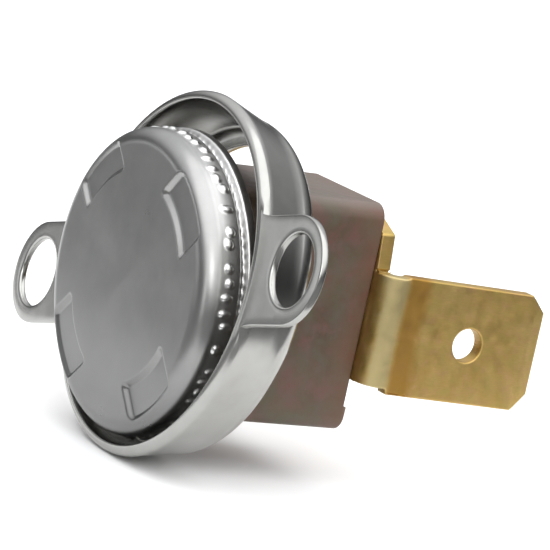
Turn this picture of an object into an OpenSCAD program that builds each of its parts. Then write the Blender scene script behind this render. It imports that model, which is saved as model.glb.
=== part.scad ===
// Limit thermostat: a bimetal snap disc in a round metal cap opens a contact in a moulded switch case.
// X runs along the body, from the sensing face (x = 0, facing -X) to the terminals. Z is up.

/* [Sensing cap] */
// Radius of the cap's skirt
cap_r = 7.95; // [7.8:0.05:8.0]
// Radius of the crimped rim behind the skirt
rim_r = 8.1; // [8.05:0.05:8.15]
// Depth from the sensing face to the back of the crimped rim
cap_depth = 3.05; // [3:0.05:3.1]
// Thickness of the cap's sheet
cap_t = 0.4; // [0.35:0.05:0.45]
// Radius of the shoulder between face and skirt
shoulder_r = 1; // [0.8:0.1:1.1]
// Length of each pressed mark on the face
mark_l = 4.1; // [3.6:0.1:4.3]
// Width of each pressed mark on the face
mark_w = 2.1; // [1.6:0.1:2.2]
// Depth of the pressed marks
mark_d = 0.25; // [0.15:0.05:0.3]
// Distance of each mark's middle from the axis
mark_pos = 6.35; // [6:0.05:6.4]

/* [Bimetal and push pin] */
// Radius of the bimetal disc
disc_r = 6.3; // [6:0.1:6.4]
// Thickness of the bimetal disc
disc_t = 0.2; // [0.15:0.05:0.25]
// Height of the disc's dome
disc_rise = 0.35; // [0.25:0.05:0.4]
// Radius of the push pin
pin_r = 1; // [0.9:0.05:1.1]
// Radial clearance of the push pin in its guide
pin_clear = 0.06; // [0.04:0.01:0.09]

/* [Switch case] */
// Height of the case
case_h = 12.2; // [12:0.1:12.4]
// Width of the case
case_w = 8; // [7.8:0.1:8.1]
// Back face of the case, from the sensing face
case_back = 12.25; // [12.15:0.05:12.45]
// Wall thickness of the case
case_wall = 1; // [0.9:0.05:1.1]
// Radius of the case's long edges
case_edge_r = 0.9; // [0.7:0.1:1]
// How far the lip along the bottom stands behind the back face
ledge = 0.15; // [0.1:0.05:0.4]

/* [Terminals] */
// Width of the quick-connect blades
blade_w = 6.3; // [6.3:0.1:6.3]
// Thickness of the terminal sheet
blade_t = 0.8; // [0.8:0.1:0.8]
// Radius of the hole in each blade
blade_hole_r = 0.9; // [0.8:0.05:1]
// Distance from a blade's tip to its hole
blade_hole_in = 4.5; // [3.8:0.1:4.6]
// Tip of the bent blade, from the sensing face
blade_tip = 22.5; // [21.5:0.1:23]
// Droop of the bent blade towards its tip, in degrees
blade_droop = 1.9; // [0:0.1:3]
// Reach of the flat blade from the axis
flat_tip = 12.2; // [11.5:0.1:12.8]

/* [Mounting bracket] */
// Radius of the front crest of the collar's rounded lip
crest_r = 9.2; // [9.15:0.05:9.25]
// Outer radius of the collar's lip
lip_r = 9.65; // [9.6:0.05:9.75]
// Outer radius of the tapered collar where its heel begins
wall_r = 9; // [8.95:0.05:9.1]
// Radius of the heel between collar and back
heel_r = 1.3; // [1.2:0.05:1.35]
// Thickness of the bracket's sheet
sheet_t = 0.45; // [0.4:0.05:0.5]
// Depth of the bracket, from the ears' front face
bracket_h = 4.15; // [4.1:0.05:4.2]
// Radius of the hole in the bracket's back
back_hole_r = 7.6; // [7.55:0.05:7.65]
// Distance of each screw hole from the bracket's axis
ear_pos = 12.85; // [12.5:0.05:13]
// Radius of the screw holes
ear_hole_r = 1.85; // [1.7:0.05:1.95]
// Half width of the ears, and the radius of their round ends
ear_r = 2.8; // [2.75:0.05:2.95]
// Reach of the ears from the bracket's axis
ear_tip = 15.5; // [15.4:0.05:15.7]
// Turn of the loose bracket about its own axis
bracket_spin = -15.3; // [-180:0.1:180]
// Lean of the loose bracket, its top away from the sensing face
bracket_lean = 8.1; // [7.7:0.1:8.2]
// Yaw of the loose bracket
bracket_yaw = -2.3; // [-2.5:0.1:-1.5]
// Place of the bracket's front centre along X
bracket_x = 1.8; // [1.7:0.05:1.85]
// Place of the bracket's front centre along Z
bracket_z = 0.66; // [0.62:0.01:0.68]

/* [Hidden] */
$fn = 96;
e = 0.01;
// the stack inside the cap, front to back
cap_ri = cap_r - cap_t;
lip_x = cap_depth - cap_t;
disc_x = 0.9;
seat_x = 1.15;
guide_x = 1.5;
flange_x = 2.05;
// cavity of the case
cav_h = case_h - 2 * case_wall;
cav_w = case_w - 2 * case_wall;
cav_back = case_back - case_wall - 0.1;
// contacts: the arm is a leaf in the plane x = arm_x, hinged at its foot
arm_x = 8;
arm_t = 0.15;
arm_foot_z = -3.9;
hinge_z = -3.75;
contact_z = 2.6;
contact_r = 0.9;
meet_x = 7.4;
strip_t = 0.4;
pin_front = 1;
pin_gap = 0.06;
// rivets: [y, z]
rivet_r = 0.7;
strip_rivet_z = 3.3;
arm_rivet_z = -2.6;
// bent blade: outer face at y = -blade_y, middle at z = blade_z
blade_y = 5.5;
blade_z = -0.36;
bend_ri = 0.4;
plate_x = case_back;

// turns a shape made along +Z to lie along +X
module along_x() { rotate([0, 90, 0]) children(); }
// solid of revolution about X from [radius, x] points
module turned(points) { along_x() rotate_extrude($fn = 128) polygon(points); }
// disc along X between two x values
module rod_x(x0, x1, r, y = 0, z = 0) { translate([x0, y, z]) along_x() cylinder(r = r, h = x1 - x0); }
// points of an arc in [radius, x]
function arc(cr, cx, r, a0, a1, n) = [for (i = [0:n]) let (a = a0 + (a1 - a0) * i / n) [cr + r * cos(a), cx + r * sin(a)]];
// block along X with rounded long edges
module rounded_block(x0, x1, w, h, r) {
    translate([x0, -w / 2 + r, -h / 2]) cube([x1 - x0, w - 2 * r, h]);
    translate([x0, -w / 2, -h / 2 + r]) cube([x1 - x0, w, h - 2 * r]);
    for (sy = [-1, 1], sz = [-1, 1]) rod_x(x0, x1, r, sy * (w / 2 - r), sz * (h / 2 - r));
}
// blade with a chamfered far end, its middle line falling by k for each mm of length
module blade_outline(l, w, c, k = 0) {
    polygon([for (p = [[0, -w / 2], [l - c, -w / 2], [l, -w / 2 + c], [l, w / 2 - c], [l - c, w / 2], [0, w / 2]]) [p[0], p[1] - k * p[0]]]);
}

// the marks, struck one by one and not quite evenly: angle, and how much farther out the inner edge is
marks = [[46, 0.4], [132.5, 0.1], [226, 0], [316, 0.1]];
// a mark has parallel sides and two arcs about the axis
module mark(x0, x1, g = 0, in = 0) {
    r0 = mark_pos - mark_w / 2 + in + g;
    r1 = mark_pos + mark_w / 2 - g;
    intersection() {
        turned([[r0, x0], [r1, x0], [r1, x1], [r0, x1]]);
        translate([x0 - 1, 1, -mark_l / 2 + g]) cube([x1 - x0 + 2, cap_r, mark_l - 2 * g]);
    }
}

module sensing_cap() {
    color("#b9b9b6") difference() {
        union() {
            turned(concat([[0, 0]], arc(cap_r - shoulder_r, shoulder_r, shoulder_r, -90, 0, 8),
                [[cap_r, 2.12], [cap_r - 0.14, 2.24], [cap_r - 0.14, 2.4], [rim_r, 2.5], [rim_r, cap_depth - 0.12], [rim_r - 0.12, cap_depth],
                 [7.15, cap_depth], [7.15, lip_x], [cap_ri, lip_x]],
                arc(cap_r - shoulder_r, shoulder_r, shoulder_r - cap_t, 0, -90, 6), [[0, cap_t]]));
            for (m = marks) rotate([m[0], 0, 0]) mark(cap_t - e, cap_t + mark_d, 0.15, m[1]);
        }
        for (m = marks) rotate([m[0], 0, 0]) mark(-1, mark_d, 0, m[1]);
    }
}

module bimetal_disc() {
    n = 8;
    color("#8d8a86") turned(concat(
        [for (i = [0:n]) let (r = disc_r * i / n) [r, disc_x - disc_rise * (1 - pow(i / n, 2))]],
        [for (i = [n:-1:0]) let (r = disc_r * i / n) [r, disc_x + disc_t - disc_rise * (1 - pow(i / n, 2))]]));
}

module disc_seat_ring() {
    color("#c9c5bb") turned([[5.7, seat_x], [7.45, seat_x], [7.45, guide_x], [5.7, guide_x]]);
}

module pin_guide() {
    color("#d8cdb8") turned([[pin_r + pin_clear, guide_x], [7.45, guide_x], [7.45, flange_x], [2, flange_x], [2, 3.6], [pin_r + pin_clear, 3.6]]);
}

module push_pin() {
    tip = arm_x - pin_gap;
    color("#f0ede6") turned([[0, pin_front], [pin_r - 0.15, pin_front], [pin_r, pin_front + 0.15], [pin_r, tip - 0.6], [0.4, tip], [0, tip]]);
}

module switch_case() {
    color("#6b5950") difference() {
        union() {
            rod_x(flange_x, lip_x, cap_ri - 0.05);
            rounded_block(lip_x - e, case_back, case_w, case_h, case_edge_r);
            // lip along the bottom of the back face
            intersection() {
                rounded_block(case_back - e, case_back + ledge, case_w, case_h, case_edge_r);
                translate([case_back - 1, -case_w, -8]) cube([3, 2 * case_w, 8 - 4.7]);
            }
        }
        translate([flange_x - 1, -cav_w / 2, -cav_h / 2]) cube([cav_back - flange_x + 1, cav_w, cav_h]);
        rod_x(cav_back - 1, case_back + 1, rivet_r + 0.05, 0, strip_rivet_z);
        rod_x(cav_back - 1, case_back + 1, rivet_r + 0.05, 0, arm_rivet_z);
    }
}

module fixed_contact_strip() {
    z1 = cav_h / 2 - 0.05;
    color("#c9a050") difference() {
        union() {
            translate([meet_x - 0.4 - strip_t, -1.5, 1.5]) cube([strip_t, 3, z1 - 1.5]);
            translate([meet_x - 0.4 - strip_t, -1.5, z1 - strip_t]) cube([cav_back - (meet_x - 0.4 - strip_t), 3, strip_t]);
            translate([cav_back - strip_t, -1.5, 2]) cube([strip_t, 3, z1 - 2]);
        }
        rod_x(cav_back - 1, cav_back + 1, rivet_r + 0.02, 0, strip_rivet_z);
    }
}

module fixed_contact() {
    color("#d9d9d6") turned_at(contact_z) polygon([[0, meet_x - 0.4], [contact_r, meet_x - 0.4], [contact_r, meet_x - 0.15], [contact_r - 0.15, meet_x], [0, meet_x]]);
}

module turned_at(z) { translate([0, 0, z]) along_x() rotate_extrude($fn = 64) children(); }

module arm_support() {
    z0 = -cav_h / 2 + 0.05;
    color("#c9a050") difference() {
        union() {
            translate([arm_x - 0.05 - strip_t, -1.5, z0]) cube([strip_t, 3, 1.8]);
            translate([arm_x - 0.05 - strip_t, -1.5, z0]) cube([cav_back - (arm_x - 0.05 - strip_t), 3, strip_t]);
            translate([cav_back - strip_t, -1.5, z0]) cube([strip_t, 3, 3.35]);
        }
        rod_x(cav_back - 1, cav_back + 1, rivet_r + 0.02, 0, arm_rivet_z);
    }
}

module contact_arm() {
    color("#c58f45") translate([arm_x, -1.3, arm_foot_z]) cube([arm_t, 2.6, 7.6]);
}

module moving_contact() {
    color("#d9d9d6") turned_at(contact_z) polygon([[0, meet_x], [contact_r - 0.15, meet_x], [contact_r, meet_x + 0.15], [contact_r, arm_x], [0, arm_x]]);
}

module bent_terminal() {
    bc = blade_y - blade_t - bend_ri;
    // the neck is a little narrower than the blade
    n0 = blade_z - blade_w / 2 + 0.3;
    n1 = blade_z + blade_w / 2 - 0.1;
    droop = tan(blade_droop);
    root_x = plate_x + blade_t + bend_ri;
    hole_x = blade_tip - blade_hole_in;
    color("#c2a14f") difference() {
        union() {
            // plate on the back of the case
            translate([plate_x, 0, 0]) rotate([90, 0, 90]) linear_extrude(height = blade_t) polygon([
                [-bc, n0], [-2.6, n0], [-2.6, 1.1], [-2, 1.7], [2.2, 1.7], [2.2, 5.4],
                [-2.3, 5.4], [-4.05, 4.65], [-4.25, 2.8], [-bc + 0.35, n1], [-bc, n1]]);
            // the bend, a quarter of a ring
            translate([root_x, -bc, n0]) rotate([0, 0, 180])
                rotate_extrude(angle = 90, $fn = 96) translate([bend_ri, 0]) square([blade_t, n1 - n0]);
            // the blade
            translate([root_x, -blade_y + blade_t, blade_z]) rotate([90, 0, 0])
                linear_extrude(height = blade_t) blade_outline(blade_tip - root_x, blade_w, 0.9, droop);
        }
        rod_x(plate_x - 1, plate_x + 2, rivet_r + 0.02, 0, strip_rivet_z);
        translate([hole_x, 0, blade_z - droop * (hole_x - root_x)]) rotate([90, 0, 0]) cylinder(r = blade_hole_r, h = 10);
    }
}

module flat_terminal() {
    z0 = -4.3;
    color("#c2a14f") difference() {
        translate([plate_x, 0, 0]) rotate([90, 0, 90]) linear_extrude(height = blade_t) polygon([
            [-1.3, z0], [flat_tip - 0.9, z0], [flat_tip, z0 + 0.9], [flat_tip, z0 + blade_w - 0.9], [flat_tip - 0.9, z0 + blade_w],
            [4.6, z0 + blade_w], [4.2, z0 + blade_w - 0.4], [4.2, -0.9], [-1.3, -0.9]]);
        rod_x(plate_x - 1, plate_x + 2, rivet_r + 0.02, 0, arm_rivet_z);
        rod_x(plate_x - 1, plate_x + 2, blade_hole_r, flat_tip - blade_hole_in, z0 + blade_w / 2);
    }
}

// rivet along X: head inside the case, shank, domed head on the terminal
module rivet(z) {
    x1 = plate_x + blade_t;
    color("#cdbb86") turned_at(z) polygon(concat(
        [[0, cav_back - strip_t - 0.5], [0.9, cav_back - strip_t - 0.5], [1.15, cav_back - strip_t - 0.25], [1.15, cav_back - strip_t],
         [rivet_r, cav_back - strip_t], [rivet_r, x1], [1.4, x1], [1.4, x1 + 0.15]],
        [for (i = [1:6]) let (a = i * 15) [1.4 * cos(a), x1 + 0.15 + 0.4 * sin(a)]]));
}
module strip_rivet() { rivet(strip_rivet_z); }
module arm_rivet() { rivet(arm_rivet_z); }

module bracket_place() { translate([bracket_x, 0, bracket_z]) rotate([bracket_spin, bracket_lean, bracket_yaw]) children(); }

module mounting_bracket() {
    lip_x1 = 0.48;
    mouth = 0.89;
    heel_x = bracket_h - heel_r;
    ri = wall_r - sheet_t;
    root_r = 1.2;
    root_y = sqrt(pow(crest_r + root_r, 2) - pow(ear_r + root_r, 2));
    root_z = crest_r * (ear_r + root_r) / (crest_r + root_r);
    color("#a9a9a6") bracket_place() difference() {
        union() {
            // rounded lip, tapered collar, heel and back, one turned profile
            turned(concat(
                [for (a = [0:15:90]) [crest_r - 0.2 * cos(a), mouth * (1 - sin(a))]],
                [for (a = [15:15:90]) [crest_r + (lip_r - crest_r) * sin(a), lip_x1 * (1 - cos(a))]],
                arc(wall_r - heel_r, heel_x, heel_r, 0, 90, 8),
                [[back_hole_r, bracket_h], [back_hole_r, bracket_h - sheet_t]],
                arc(wall_r - heel_r, heel_x, heel_r - sheet_t, 90, 0, 6)));
            // ears, with a fillet at each side of the root
            for (s = [0, 180]) rotate([s, 0, 0]) difference() {
                union() {
                    rod_x(0, sheet_t, ear_r, ear_r - ear_tip);
                    translate([0, ear_r - ear_tip, -ear_r]) cube([sheet_t, ear_tip - ear_r - 8, 2 * ear_r]);
                    translate([0, -root_y, -root_z]) cube([sheet_t, root_y - 8, 2 * root_z]);
                }
                for (t = [-1, 1]) rod_x(-1, 1, root_r, -root_y, t * (ear_r + root_r));
                rod_x(-1, 1, crest_r + 0.05);
            }
        }
        for (s = [-1, 1]) rod_x(-1, 1, ear_hole_r, s * ear_pos);
    }
}

sensing_cap();
bimetal_disc();
disc_seat_ring();
pin_guide();
push_pin();
switch_case();
fixed_contact_strip();
fixed_contact();
arm_support();
contact_arm();
moving_contact();
bent_terminal();
flat_terminal();
strip_rivet();
arm_rivet();
mounting_bracket();
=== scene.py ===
import math
import random

import bmesh
import bpy
from mathutils import Matrix, Vector, geometry


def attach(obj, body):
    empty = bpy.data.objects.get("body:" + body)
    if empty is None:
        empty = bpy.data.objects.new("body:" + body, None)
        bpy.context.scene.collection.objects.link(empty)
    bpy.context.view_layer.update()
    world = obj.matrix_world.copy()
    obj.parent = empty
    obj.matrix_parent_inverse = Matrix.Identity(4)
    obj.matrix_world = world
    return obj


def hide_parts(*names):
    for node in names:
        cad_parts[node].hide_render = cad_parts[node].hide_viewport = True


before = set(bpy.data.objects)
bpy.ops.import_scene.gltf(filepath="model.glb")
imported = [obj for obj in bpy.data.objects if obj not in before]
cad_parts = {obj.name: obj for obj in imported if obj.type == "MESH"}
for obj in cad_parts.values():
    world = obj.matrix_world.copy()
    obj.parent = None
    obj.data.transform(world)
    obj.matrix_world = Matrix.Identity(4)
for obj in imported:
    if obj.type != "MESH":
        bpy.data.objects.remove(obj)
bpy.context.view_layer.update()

MM = 0.001
PI = math.pi

# ---------------------------------------------------------------- sizes, in mm, as in the CAD
CAP_R, RIM_R, CAP_D, CAP_T, SHOULDER = 7.95, 8.1, 3.05, 0.4, 1.0
CASE_W, CASE_H, CASE_X0, CASE_X1, CASE_R, LEDGE = 8.0, 12.2, 2.65, 12.25, 0.9, 0.15
CAV_W, CAV_H, CAV_X = 6.0, 10.2, 11.15
BLADE_W, BLADE_T, BLADE_HOLE, HOLE_IN = 6.3, 0.8, 0.9, 4.5
BLADE_TIP, FLAT_TIP, BLADE_Y, BLADE_Z, BEND_RI = 22.5, 12.2, 5.5, -0.36, 0.4
DROOP = math.tan(math.radians(1.9))
NECK_LO, NECK_HI = 0.3, 0.1
STRIP_RIVET_Z, ARM_RIVET_Z = 3.3, -2.6
CREST_R, LIP_R, WALL_R, HEEL_R, SHEET, BRACKET_H, BACK_HOLE = 9.2, 9.65, 9.0, 1.3, 0.45, 4.15, 7.6
EAR_POS, EAR_HOLE, EAR_R, EAR_TIP, ROOT_R = 12.85, 1.85, 2.8, 15.5, 1.2
BRACKET = (Matrix.Translation((1.8, 0, 0.66)) @ Matrix.Rotation(math.radians(-2.3), 4, "Z")
           @ Matrix.Rotation(math.radians(8.1), 4, "Y") @ Matrix.Rotation(math.radians(-15.3), 4, "X"))


# ---------------------------------------------------------------- mesh helpers
class Build:
    """Collects rings of points in mm and the faces between them."""

    def __init__(self):
        self.v = []
        self.f = []
        self.slots = []
        self.slot = 0

    def ring(self, points):
        start = len(self.v)
        self.v += [tuple(p) for p in points]
        return list(range(start, len(self.v)))

    def face(self, *ids):
        self.f.append(tuple(ids))
        self.slots.append(self.slot)

    def bridge(self, a, b, closed=True):
        n = len(a)
        for i in range(n if closed else n - 1):
            j = (i + 1) % n
            self.face(a[i], a[j], b[j], b[i])

    def loft(self, rings):
        for a, b in zip(rings, rings[1:]):
            self.bridge(a, b)

    def fill(self, outer, holes=(), flat=None, within=()):
        """Triangles between a loop and the holes in it. flat gives a point's two coordinates. within are more points to use between them."""
        loops = [outer] + list(holes)
        ids = [i for loop in loops for i in loop] + list(within)
        place = {}
        for k, i in enumerate(ids):
            place.setdefault(i, k)
        flat = flat or (lambda p: (p[1], p[2]))
        co = [Vector(flat(self.v[i])) for i in ids]
        edges = []
        for loop in loops:
            edges += [(place[a], place[b]) for a, b in zip(loop, loop[1:] + loop[:1])]
        _, _, faces, back, _, _ = geometry.delaunay_2d_cdt(co, edges, [], 0, 1e-7)
        rims = [[co[place[i]] for i in loop] for loop in loops]

        def inside(p, rim):
            hit = False
            for a, b in zip(rim, rim[1:] + rim[:1]):
                if (a.y > p.y) != (b.y > p.y) and p.x < (b.x - a.x) * (p.y - a.y) / (b.y - a.y) + a.x:
                    hit = not hit
            return hit

        for tri in faces:
            mine = [back[k][0] for k in tri]
            mid = sum((co[k] for k in mine), Vector((0, 0))) / len(mine)
            if inside(mid, rims[0]) and not any(inside(mid, rim) for rim in rims[1:]):
                self.face(*[ids[k] for k in mine])

    def object(self, name, matrix=None, sharp=40, weighted=True):
        mesh = bpy.data.meshes.new(name)
        points = [Vector(p) for p in self.v]
        if matrix is not None:
            points = [matrix @ p for p in points]
        mesh.from_pydata([p * MM for p in points], [], self.f)
        bm = bmesh.new()
        bm.from_mesh(mesh)
        mark = bm.faces.layers.int.new("part")
        bm.faces.ensure_lookup_table()
        for face, s in zip(bm.faces, self.slots):
            face[mark] = s
        bmesh.ops.remove_doubles(bm, verts=bm.verts, dist=2e-8)
        bmesh.ops.dissolve_degenerate(bm, edges=bm.edges, dist=2e-8)
        bmesh.ops.recalc_face_normals(bm, faces=bm.faces)
        for face in bm.faces:
            face.smooth = True
            face.material_index = face[mark]
        bm.faces.layers.int.remove(mark)
        bm.to_mesh(mesh)
        bm.free()
        mesh.set_sharp_from_angle(angle=math.radians(sharp))
        obj = bpy.data.objects.new(name, mesh)
        bpy.context.scene.collection.objects.link(obj)
        if weighted:
            mod = obj.modifiers.new("even_normals", "WEIGHTED_NORMAL")
            mod.keep_sharp = True
            mod.weight = 60
        return obj


def arc(cx, cy, r, a0, a1, n):
    """n + 1 points of an arc, angles in degrees."""
    return [(cx + r * math.cos(math.radians(a0 + (a1 - a0) * i / n)), cy + r * math.sin(math.radians(a0 + (a1 - a0) * i / n)))
            for i in range(n + 1)]


def turn(b, profile, n, bump=None, y=0.0, z=0.0):
    """Rings about X from (radius, x) points. bump(angle, k) adds to the radius."""
    rings = []
    for k, (r, x) in enumerate(profile):
        ring = []
        for i in range(n):
            t = 2 * PI * i / n
            rr = r + (bump(t, x) if bump else 0.0)
            ring.append((x, y + rr * math.cos(t), z + rr * math.sin(t)))
        rings.append(b.ring(ring))
    return rings


def rounded(points, n=6):
    """A polygon of (y, z, corner radius) as a list of (point, outward normal), counter-clockwise."""
    out = []
    m = len(points)
    for i, (y, z, r) in enumerate(points):
        p = Vector((y, z))
        a = (Vector(points[i - 1][:2]) - p).normalized()
        c = (Vector(points[(i + 1) % m][:2]) - p).normalized()
        half = 0.5 * math.acos(max(-1, min(1, a.dot(c))))
        if r <= 0:
            r = 0.02
        d = r / math.tan(half)
        centre = p + (a + c).normalized() * (r / math.sin(half))
        s, e = p + a * d - centre, p + c * d - centre
        sa = math.atan2(s.y, s.x)
        turn_by = math.atan2(s.x * e.y - s.y * e.x, s.dot(e))
        convex = a.x * c.y - a.y * c.x < 0
        for k in range(n + 1):
            t = sa + turn_by * k / n
            q = Vector((math.cos(t), math.sin(t)))
            out.append((centre + q * r, q if convex else -q))
    return out


def split(loop, step):
    """Adds points along the long straight stretches of a loop of (point, normal)."""
    out = []
    for (p, n), (q, _) in zip(loop, loop[1:] + loop[:1]):
        out.append((p, n))
        k = int((q - p).length / step)
        m = Vector((q.y - p.y, p.x - q.x)).normalized()
        for i in range(1, k + 1):
            if k and i <= k and i / (k + 1) < 1:
                out.append((p.lerp(q, i / (k + 1)), m))
    return out


def circle(y, z, r, n):
    """A hole's loop as (point, normal out of the material, so towards the hole's middle)."""
    return [(Vector((y + r * math.cos(2 * PI * i / n), z + r * math.sin(2 * PI * i / n))),
             Vector((-math.cos(2 * PI * i / n), -math.sin(2 * PI * i / n)))) for i in range(n)]


def edge_rings(b, loop, t, soft, place, front=None, back=None):
    """Rings round a sheet's edge, from its face at depth 0 to its face at depth t, with rounded corners of radius soft."""
    front = soft if front is None else front
    back = soft if back is None else back
    steps = []
    for k in range(4):
        a = PI / 2 * k / 3
        steps.append((front * (1 - math.sin(a)), front * (1 - math.cos(a))))
    for k in range(4):
        a = PI / 2 * k / 3
        steps.append((back * (1 - math.cos(a)), t - back * (1 - math.sin(a))))
    return [b.ring([place(p - n * inset, depth) for p, n in loop]) for inset, depth in steps]


# ---------------------------------------------------------------- materials
def nodes_of(name):
    mat = bpy.data.materials.new(name)
    mat.use_nodes = True
    tree = mat.node_tree
    shader = next(n for n in tree.nodes if n.type == "BSDF_PRINCIPLED")
    return mat, tree, shader


class Kit:
    """Short names for the nodes that the materials are made of. Coordinates are the object's, in mm."""

    def __init__(self, tree):
        self.t = tree
        coord = tree.nodes.new("ShaderNodeTexCoord")
        scale = tree.nodes.new("ShaderNodeVectorMath")
        scale.operation = "SCALE"
        scale.inputs["Scale"].default_value = 1000.0
        tree.links.new(coord.outputs["Object"], scale.inputs[0])
        self.mm = scale.outputs[0]

    def link(self, a, b):
        self.t.links.new(a, b)

    def put(self, socket, value):
        if hasattr(value, "default_value") or hasattr(value, "links"):
            self.link(value, socket)
        else:
            socket.default_value = value

    def stretch(self, sx, sy, sz, vector=None, turn=(0, 0, 0)):
        n = self.t.nodes.new("ShaderNodeMapping")
        n.inputs["Scale"].default_value = (sx, sy, sz)
        n.inputs["Rotation"].default_value = turn
        self.link(vector or self.mm, n.inputs["Vector"])
        return n.outputs[0]

    def noise(self, scale, detail=3, rough=0.5, vector=None, distortion=0.0):
        n = self.t.nodes.new("ShaderNodeTexNoise")
        n.inputs["Scale"].default_value = scale
        n.inputs["Detail"].default_value = detail
        n.inputs["Roughness"].default_value = rough
        n.inputs["Distortion"].default_value = distortion
        self.link(vector or self.mm, n.inputs["Vector"])
        return n.outputs["Fac"]

    def cells(self, scale, vector=None, feature="F1"):
        n = self.t.nodes.new("ShaderNodeTexVoronoi")
        n.feature = feature
        n.inputs["Scale"].default_value = scale
        self.link(vector or self.mm, n.inputs["Vector"])
        return n.outputs["Distance"]

    def ramp(self, value, stops, ease="LINEAR"):
        n = self.t.nodes.new("ShaderNodeValToRGB")
        n.color_ramp.interpolation = ease
        while len(n.color_ramp.elements) < len(stops):
            n.color_ramp.elements.new(0.5)
        for e, (pos, c) in zip(n.color_ramp.elements, stops):
            e.position = pos
            e.color = (c, c, c, 1) if isinstance(c, (int, float)) else (*c, 1)
        self.link(value, n.inputs["Fac"])
        return n.outputs["Color"]

    def range(self, value, a, b, c, d):
        n = self.t.nodes.new("ShaderNodeMapRange")
        self.link(value, n.inputs["Value"])
        for k, x in zip(("From Min", "From Max", "To Min", "To Max"), (a, b, c, d)):
            n.inputs[k].default_value = x
        return n.outputs["Result"]

    def mix(self, fac, a, b, mode="MIX"):
        n = self.t.nodes.new("ShaderNodeMix")
        n.data_type = "RGBA"
        n.blend_type = mode
        self.put(n.inputs["Factor"], fac)
        for s, x in ((n.inputs[6], a), (n.inputs[7], b)):
            if isinstance(x, tuple):
                s.default_value = (*x, 1)
            else:
                self.link(x, s)
        return n.outputs[2]

    def math(self, op, a, b=None):
        n = self.t.nodes.new("ShaderNodeMath")
        n.operation = op
        self.put(n.inputs[0], a)
        if b is not None:
            self.put(n.inputs[1], b)
        return n.outputs[0]

    def part(self, axis, vector=None):
        n = self.t.nodes.new("ShaderNodeSeparateXYZ")
        self.link(vector or self.mm, n.inputs[0])
        return n.outputs[axis]

    def point(self):
        n = self.t.nodes.new("ShaderNodeNewGeometry")
        return n.outputs["Pointiness"]

    def bump(self, height, distance, strength=1.0, normal=None):
        n = self.t.nodes.new("ShaderNodeBump")
        n.inputs["Strength"].default_value = strength
        n.inputs["Distance"].default_value = distance
        self.link(height, n.inputs["Height"])
        if normal is not None:
            self.link(normal, n.inputs["Normal"])
        return n.outputs[0]


def metal(name, dark, light, rough=(0.28, 0.42), grain=(1, 1, 1), grain_depth=0.0006, scratch=0.3, tint=None, wear=0.25, painted_pale_reflection_from=None, low=None):
    """Sheet metal: cloudy colour, rolling grain, fine scratches, brighter worn edges, and optionally a painted paler
    reflection further back along X and a painted darker reflection towards the bottom.
    """
    mat, tree, sh = nodes_of(name)
    k = Kit(tree)
    sh.inputs["Metallic"].default_value = 1.0
    cloud = k.noise(0.55, 4, 0.6)
    fine = k.noise(9, 3, 0.6)
    grain_v = k.stretch(*grain)
    lines = k.noise(14, 3, 0.7, grain_v)
    colour = k.ramp(cloud, [(0.3, dark), (0.72, light)])
    colour = k.mix(k.range(lines, 0.3, 0.7, 0.0, 0.28), colour, dark, "MIX")
    if tint:
        patch = k.noise(0.9, 3, 0.6, k.stretch(1, 1.3, 0.8, turn=(0.4, 0.2, 0.9)))
        colour = k.mix(k.range(patch, 0.42, 0.72, 0.0, tint[1]), colour, tint[0])
    if wear:
        worn = k.range(k.point(), 0.5, 0.58, 0.0, wear)
        colour = k.mix(worn, colour, (0.82, 0.82, 0.80))
    # painted shade: darker towards the bottom (low Z), standing in for a dimmer reflection there
    if low:
        colour = k.mix(k.range(k.part(2), low[0], low[1], 0.0, 1.0), colour, low[2])
    # painted reflection: paler further back along X, over the cap's skirt
    if painted_pale_reflection_from:
        colour = k.mix(k.range(k.part(0), painted_pale_reflection_from[0], painted_pale_reflection_from[1], 0.0, 1.0), colour, painted_pale_reflection_from[2])
    k.link(colour, sh.inputs["Base Color"])
    scr = k.ramp(k.noise(5.5, 2, 0.5, k.stretch(6, 0.5, 3, turn=(0.3, 0.5, 0.2)), 0.4), [(0.0, 0.0), (0.485, 0.0), (0.5, 1.0), (0.515, 0.0), (1.0, 0.0)])
    smudge = k.noise(0.35, 5, 0.65)
    r = k.math("ADD", k.range(smudge, 0.3, 0.75, rough[0], rough[1]), k.math("MULTIPLY", scr, 0.12 * scratch))
    k.link(r, sh.inputs["Roughness"])
    b1 = k.bump(k.math("ADD", k.math("MULTIPLY", lines, 0.7), k.math("MULTIPLY", fine, 0.3)), grain_depth * MM, 1.0)
    if scratch:
        b1 = k.bump(scr, -0.0012 * scratch * MM, 1.0, b1)
    k.link(b1, sh.inputs["Normal"])
    return mat


def cap_metal():
    # the last two arguments paint light: a paler reflection over the skirt and a darker reflection towards the face's
    # bottom
    return metal("cap_sheet", (0.315, 0.317, 0.311), (0.365, 0.365, 0.357), (0.27, 0.36), (1, 1, 1), 0.0003, 0.0, ((0.38, 0.375, 0.36), 0.3), 0.0, (0.80, 1.25, (0.60, 0.60, 0.59)),
                 (1.5, -6.0, (0.205, 0.206, 0.202)))


def bracket_metal():
    return metal("bracket_sheet", (0.365, 0.363, 0.348), (0.435, 0.433, 0.418), (0.18, 0.28), (1, 1, 1), 0.0003, 0.0, ((0.40, 0.41, 0.385), 0.5), 0.0)


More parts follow.
